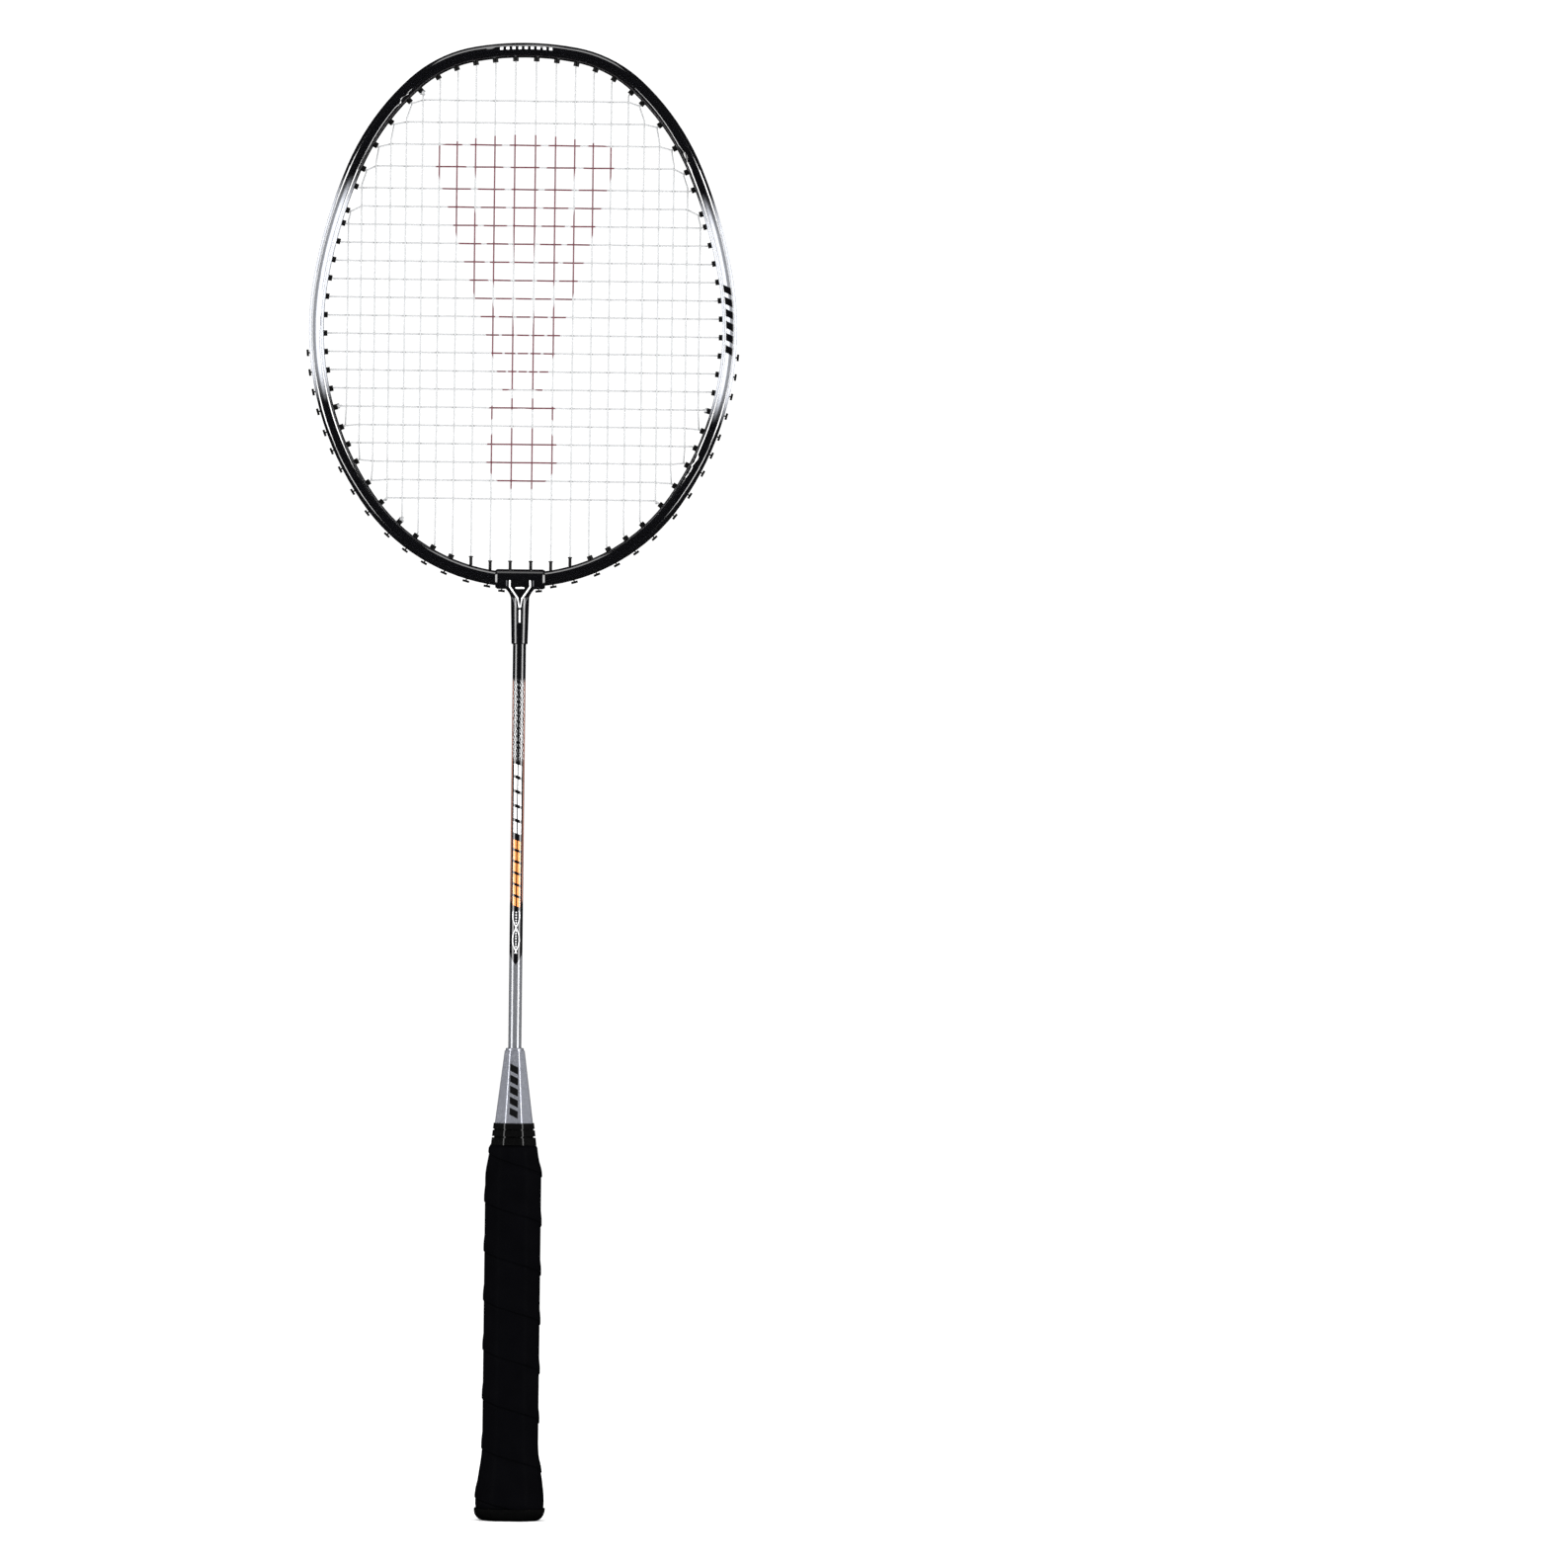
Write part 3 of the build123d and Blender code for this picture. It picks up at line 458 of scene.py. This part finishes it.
def grommet_nylon():
    shader = Shader("grommet_nylon")
    tone = shader.mix(shader.noise(1500), grey(0.0015), grey(0.004))
    shader.set(Base_Color=tone, Roughness=shader.spread(shader.noise(2500), 0.34, 0.5))
    shader.set(Specular_IOR_Level=0.12)
    return shader.bump(shader.noise(6000, 2), 0.15, 0.03 * MM)


def badge_metal():
    shader = Shader("badge_metal")
    brushed = shader.noise(1600, 2, (1, 12, 1))
    tone = shader.mix(brushed, grey(0.35), grey(0.6))
    shader.set(Base_Color=tone, Metallic=1.0, Roughness=shader.spread(brushed, 0.25, 0.45))
    return shader.bump(brushed, 0.15, 0.02 * MM)


def core_metal():
    shader = Shader("core_metal")
    cast = shader.noise(1800, 4)
    tone = shader.mix(cast, grey(0.38), grey(0.6))
    shader.set(Base_Color=tone, Metallic=1.0, Roughness=shader.spread(cast, 0.35, 0.6))
    return shader.bump(cast, 0.3, 0.05 * MM)


def pin_steel():
    shader = Shader("pin_steel")
    drawn = shader.noise(2500, 2, (8, 0.3, 8))
    tone = shader.mix(drawn, grey(0.45), grey(0.62))
    shader.set(Base_Color=tone, Metallic=1.0, Roughness=shader.spread(drawn, 0.2, 0.35))
    return shader.bump(drawn, 0.1, 0.02 * MM)


def handle_wood():
    shader = Shader("handle_wood")
    grain = shader.noise(420, 5, (1, 1, 0.06))
    fibre = shader.noise(2600, 2, (1, 1, 0.05))
    tone = shader.mix(shader.spread(grain, 0, 1), (0.50, 0.30, 0.15, 1), (0.74, 0.54, 0.32, 1))
    shader.set(Base_Color=tone, Roughness=shader.spread(fibre, 0.5, 0.75))
    return shader.bump(fibre, 0.3, 0.1 * MM)


# --- strings: pale nylon with a red shuttlecock stencilled on the bed ------------------------
# The feathers fan out from this height. Reaches are distances from there, in metres, and
# spreads are angles each way.
FAN_CENTRE = 0.487
FEATHER_REACH = (0.030, 0.146)
FEATHER_SPREAD = math.radians(18)
FEATHER_PITCH = math.radians(7.2)
CORK_RADIUS = 0.0165
CORK_TOP = 0.012
COLLAR_REACH = (0.021, 0.026)
COLLAR_SPREAD = math.radians(50)


def shuttlecock(shader):
    """Feathers, a collar and a cork, fanned out from a point low on the bed."""
    up = shader.math("SUBTRACT", shader.z, FAN_CENTRE)
    reach = shader.length(shader.x, up)
    angle = shader.math("ARCTAN2", shader.x, up)
    turn = shader.math("ADD", shader.math("DIVIDE", angle, FEATHER_PITCH), 0.5)
    feathers = shader.all_of(
        shader.band(shader.math("FRACT", turn), 0.1, 0.9, 0.02),
        shader.band(angle, -FEATHER_SPREAD, FEATHER_SPREAD, 0.01),
        shader.band(reach, *FEATHER_REACH),
    )
    cork = shader.all_of(
        shader.without(shader.step(reach, CORK_RADIUS)), shader.without(shader.step(up, CORK_TOP))
    )
    collar = shader.all_of(
        shader.band(reach, *COLLAR_REACH), shader.band(angle, -COLLAR_SPREAD, COLLAR_SPREAD, 0.02)
    )
    return shader.any_of(feathers, cork, collar)


def string_nylon():
    shader = Shader("string_nylon")
    patches = shader.spread(shader.noise(900, 3), 0.88, 1.0)
    patchy = shader.math("MULTIPLY", shuttlecock(shader), patches)
    clear = shader.mix(shader.noise(1500), (0.30, 0.31, 0.32, 1), (0.35, 0.35, 0.35, 1))
    shader.set(Base_Color=shader.mix(patchy, clear, RED_INK))
    shader.set(Roughness=shader.spread(shader.noise(2500), 0.3, 0.4))
    return shader.bump(shader.noise(3000, 2), 0.06, 0.02 * MM)


# --- grip tape -------------------------------------------------------------------------------
def grip_tape():
    shader = Shader("grip_tape")
    grain = shader.cells(1500)
    wear = shader.noise(90, 3)
    tone = shader.mix(wear, (0.0006, 0.0006, 0.0009, 1), (0.0014, 0.0014, 0.0019, 1))
    shader.set(Base_Color=tone, Roughness=shader.spread(shader.noise(1200), 0.52, 0.72))
    shader.set(Specular_IOR_Level=0.01)
    return shader.bump(grain, 0.35, 0.08 * MM)


WRAP_PITCH = 22.5 * MM
OVERLAP_STEP = 0.45 * MM
CREASE_DEPTH = 0.25 * MM
# Shares of one turn, from one edge of the tape to the next.
STEP_UP = (0, 0.022)
STEP_DOWN = (0.10, 0.34)
CREASE_IN = (0.955, 0.995)
CREASE_OUT = (0.995, 1.0)
GRIP_HALF_WIDTH = 13.0 * MM
GRIP_DEPTH_SHARE = 23.4 / 26.0
BUTT_FLARE = 2.9 * MM
FLARE_HEIGHTS = (8 * MM, 36 * MM)
FOOT_ROUNDING = 0.25 * MM
TOP_TAPER = 1.9 * MM
TOP_LIP = 0.6 * MM
BEVEL_SHARE = 0.29  # how far the octagon's corners are cut, as a share of its depth


def smooth(low, high, value):
    """0 below low, 1 above high, and a soft rise between them."""
    share = min(max((value - low) / (high - low), 0.0), 1.0)
    return share * share * (3 - 2 * share)


def grip_half_width(z):
    """Half the grip's width without the overlap, from the flared butt to the top."""
    flare = BUTT_FLARE * (1 - smooth(*FLARE_HEIGHTS, z))
    rounding = FOOT_ROUNDING * (1 - smooth(WRAP_FOOT, WRAP_FOOT + 2 * MM, z))
    taper = TOP_TAPER * smooth(WRAP_TOP - 15 * MM, WRAP_TOP, z)
    lip = TOP_LIP * smooth(WRAP_TOP - 1.5 * MM, WRAP_TOP, z)
    return GRIP_HALF_WIDTH + flare - rounding - taper - lip - 0.5 * OVERLAP_STEP


def octagon_reach(angle, half_width, half_depth, sharpness=26):
    """Distance from the axis to a softened octagon."""
    bevel = BEVEL_SHARE * 2 * half_depth
    corner = (half_width + half_depth - bevel) / math.sqrt(2)
    faces = [(0, half_width), (45, corner), (90, half_depth), (135, corner)]
    total = 0.0
    for direction, distance in faces:
        total += abs(math.cos(angle - math.radians(direction)) / distance) ** sharpness
    return total ** (-1 / sharpness)


def make_grip():
    """The wrapped tape as one skin, each turn stepping over the edge of the turn below."""
    rings, spokes = 640, 144
    vertices, faces = [], []
    for ring in range(rings + 1):
        z = WRAP_FOOT + (WRAP_TOP - WRAP_FOOT) * ring / rings
        half = grip_half_width(z)
        for spoke in range(spokes):
            angle = 2 * math.pi * spoke / spokes
            turn = (z / WRAP_PITCH + spoke / spokes) % 1.0
            lift = smooth(*STEP_UP, turn) * (1 - smooth(*STEP_DOWN, turn))
            crease = smooth(*CREASE_IN, turn) * (1 - smooth(*CREASE_OUT, turn))
            reach = octagon_reach(angle, half, half * GRIP_DEPTH_SHARE)
            reach += OVERLAP_STEP * lift - CREASE_DEPTH * crease
            vertices.append((reach * math.cos(angle), reach * math.sin(angle), z))
    for ring in range(rings):
        for spoke in range(spokes):
            beside = (spoke + 1) % spokes
            low, high = ring * spokes, (ring + 1) * spokes
            faces.append((low + spoke, low + beside, high + beside, high + spoke))
    faces.append(tuple(reversed(range(spokes))))
    faces.append(tuple(range(rings * spokes, (rings + 1) * spokes)))
    mesh = bpy.data.meshes.new("grip_skin")
    mesh.from_pydata(vertices, [], faces)
    mesh.polygons.foreach_set("use_smooth", [True] * (len(faces) - 2) + [False] * 2)
    skin = bpy.data.objects.new("grip_skin", mesh)
    bpy.context.collection.objects.link(skin)
    skin.data.materials.append(grip_tape())
    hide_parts("grip_wrap")
    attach(skin, "root")


# --- the knots that tie off the strings ------------------------------------------------------
KNOT_SCALE = 0.4 * MM
KNOT_CORD = 0.34 * MM


def knot_places():
    """Centre and in-plane direction of each of the CAD rings that stand for the knots."""
    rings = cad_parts["string_knots"]
    groups = []
    for vertex in rings.data.vertices:
        point = rings.matrix_world @ vertex.co
        home = next((group for group in groups if (group[0] - point).length < 5 * MM), None)
        if home is None:
            groups.append([point])
        else:
            home.append(point)
    places = []
    for group in groups:
        centre = sum(group, Vector()) / len(group)
        flat = [Vector((point.x - centre.x, 0, point.z - centre.z)) for point in group]
        places.append((centre, max(flat, key=lambda reach: reach.length).normalized()))
    return places


def knot_curve(centre, along, share):
    """A point of an overhand knot, lying in the plane of the CAD ring."""
    t = 2 * math.pi * share
    across = Vector((0, 1, 0))
    up = along.cross(across)
    u = math.sin(t) + 2 * math.sin(2 * t)
    v = math.cos(t) - 2 * math.cos(2 * t)
    return centre + (along * u + across * v - up * math.sin(3 * t)) * KNOT_SCALE


def make_knots(material):
    """One mesh of all the knots, each a closed tube."""
    steps, sides = 120, 12
    vertices, faces = [], []
    for centre, along in knot_places():
        base = len(vertices)
        for step in range(steps):
            here = knot_curve(centre, along, step / steps)
            ahead = (knot_curve(centre, along, (step + 1) / steps) - here).normalized()
            side = (here - centre).cross(ahead).normalized()
            lift = ahead.cross(side)
            for spoke in range(sides):
                angle = 2 * math.pi * spoke / sides
                outward = side * math.cos(angle) + lift * math.sin(angle)
                vertices.append(here + outward * KNOT_CORD)
        for step in range(steps):
            for spoke in range(sides):
                low, high = base + step * sides, base + (step + 1) % steps * sides
                beside = (spoke + 1) % sides
                faces.append((low + spoke, low + beside, high + beside, high + spoke))
    mesh = bpy.data.meshes.new("string_ties")
    mesh.from_pydata(vertices, [], faces)
    mesh.polygons.foreach_set("use_smooth", [True] * len(faces))
    ties = bpy.data.objects.new("string_ties", mesh)
    bpy.context.collection.objects.link(ties)
    ties.data.materials.append(material)
    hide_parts("string_knots")
    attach(ties, "root")


# --- put the materials on --------------------------------------------------------------------
def show_on(node, material):
    """Put a material on a CAD node."""
    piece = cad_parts[node]
    piece.data.materials.clear()
    piece.data.materials.append(material)


show_on("hoop_frame", hoop_paint())
show_on("joint_cover", joint_paint())
show_on("joint_core", core_metal())
show_on("shaft", shaft_paint())
show_on("cone_cap", cone_paint())
show_on("collar_ring", gloss_plastic("collar_gloss"))
show_on("handle_core", handle_wood())
show_on("handle_pin", pin_steel())
show_on("butt_cap", matte_plastic("butt_rubber"))
show_on("butt_badge", badge_metal())
nylon = string_nylon()
for string in ("main_string", "cross_string"):
    show_on(string, nylon)
make_knots(nylon)
grommet = grommet_nylon()
for place in ("crown", "shoulder", "side", "cheek", "bottom", "throat"):
    show_on(f"{place}_grommets", grommet)
make_grip()


# --- floor, light and camera -----------------------------------------------------------------
MIDDLE = Vector((0, 0, TOP / 2))
CROWN = Vector((0, 0, TOP))
ROOM_LIGHT = 1.08
ROOM_REFLECTION = 0.015
VIEW_WIDTH = 0.7164  # the width that the picture takes in at the racket
VIEW_DISTANCE = 6.0
VIEW_RISE = 0.34 * MM
RACKET_LEFT_OF_CENTRE = 0.1216
ROLL = math.radians(0.67)
SENSOR_WIDTH = 36  # millimetres


def make_floor():
    bpy.ops.mesh.primitive_plane_add(size=60, location=(0, 0, 0))
    floor = bpy.context.object
    floor.name = "studio_floor"
    shader = Shader("studio_floor")
    shader.set(Base_Color=shader.mix(shader.noise(3), grey(0.94), grey(0.96)), Roughness=0.9)
    shader.set(Specular_IOR_Level=0.0)
    # Mirror-like surfaces see a dim floor, as in a studio with black flags round the table.
    dim = shader.nodes.new("ShaderNodeBsdfDiffuse")
    dim.inputs["Color"].default_value = grey(0.01)
    choose = shader.nodes.new("ShaderNodeMixShader")
    path = shader.nodes.new("ShaderNodeLightPath")
    shader.links.new(path.outputs["Is Glossy Ray"], choose.inputs[0])
    shader.links.new(shader.bsdf.outputs[0], choose.inputs[1])
    shader.links.new(dim.outputs[0], choose.inputs[2])
    shader.links.new(choose.outputs[0], shader.nodes["Material Output"].inputs["Surface"])
    floor.data.materials.append(shader.material)


def make_light(name, place, aim, size, power):
    lamp = bpy.data.lights.new(name, "AREA")
    lamp.shape = "RECTANGLE"
    lamp.size, lamp.size_y = size
    lamp.energy = power
    stand = bpy.data.objects.new(name, lamp)
    stand.location = place
    stand.rotation_euler = (aim - Vector(place)).to_track_quat("-Z", "Y").to_euler()
    bpy.context.collection.objects.link(stand)


def make_world():
    world = bpy.data.worlds.new("studio")
    bpy.context.scene.world = world
    world.use_nodes = True
    nodes, links = world.node_tree.nodes, world.node_tree.links
    strength = nodes.new("ShaderNodeMapRange")
    links.new(nodes.new("ShaderNodeLightPath").outputs["Is Glossy Ray"], strength.inputs["Value"])
    strength.inputs["To Min"].default_value = ROOM_LIGHT
    strength.inputs["To Max"].default_value = ROOM_REFLECTION
    links.new(strength.outputs["Result"], nodes["Background"].inputs["Strength"])
    nodes["Background"].inputs["Color"].default_value = (1, 1, 1, 1)


def make_camera():
    lens = bpy.data.cameras.new("camera")
    lens.sensor_width = SENSOR_WIDTH
    lens.lens = SENSOR_WIDTH * VIEW_DISTANCE / VIEW_WIDTH
    lens.clip_end = 100
    camera = bpy.data.objects.new("camera", lens)
    camera.location = (RACKET_LEFT_OF_CENTRE, -VIEW_DISTANCE, MIDDLE.z + VIEW_RISE)
    camera.rotation_euler = (math.radians(90), 0, 0)
    camera.rotation_euler.rotate_axis("Z", ROLL)
    bpy.context.collection.objects.link(camera)
    bpy.context.scene.camera = camera


make_floor()
make_world()
make_light("left_box", (-1.5, -0.9, 0.5), aim=MIDDLE, size=(0.7, 1.6), power=34)
make_light("right_box", (1.5, -0.9, 0.5), aim=MIDDLE, size=(0.7, 1.6), power=38)
make_light("top_box", (0, -0.6, 2.4), aim=MIDDLE, size=(2.0, 1.0), power=12)
# Two low strips at the sides light the hoop from below.
make_light("left_low_strip", (-0.9, -0.9, 0.05), aim=CROWN, size=(0.8, 0.1), power=1.6)
make_light("right_low_strip", (0.9, -0.9, 0.05), aim=CROWN, size=(0.8, 0.1), power=1.6)
make_camera()
bpy.context.scene.view_settings.view_transform = "Standard"
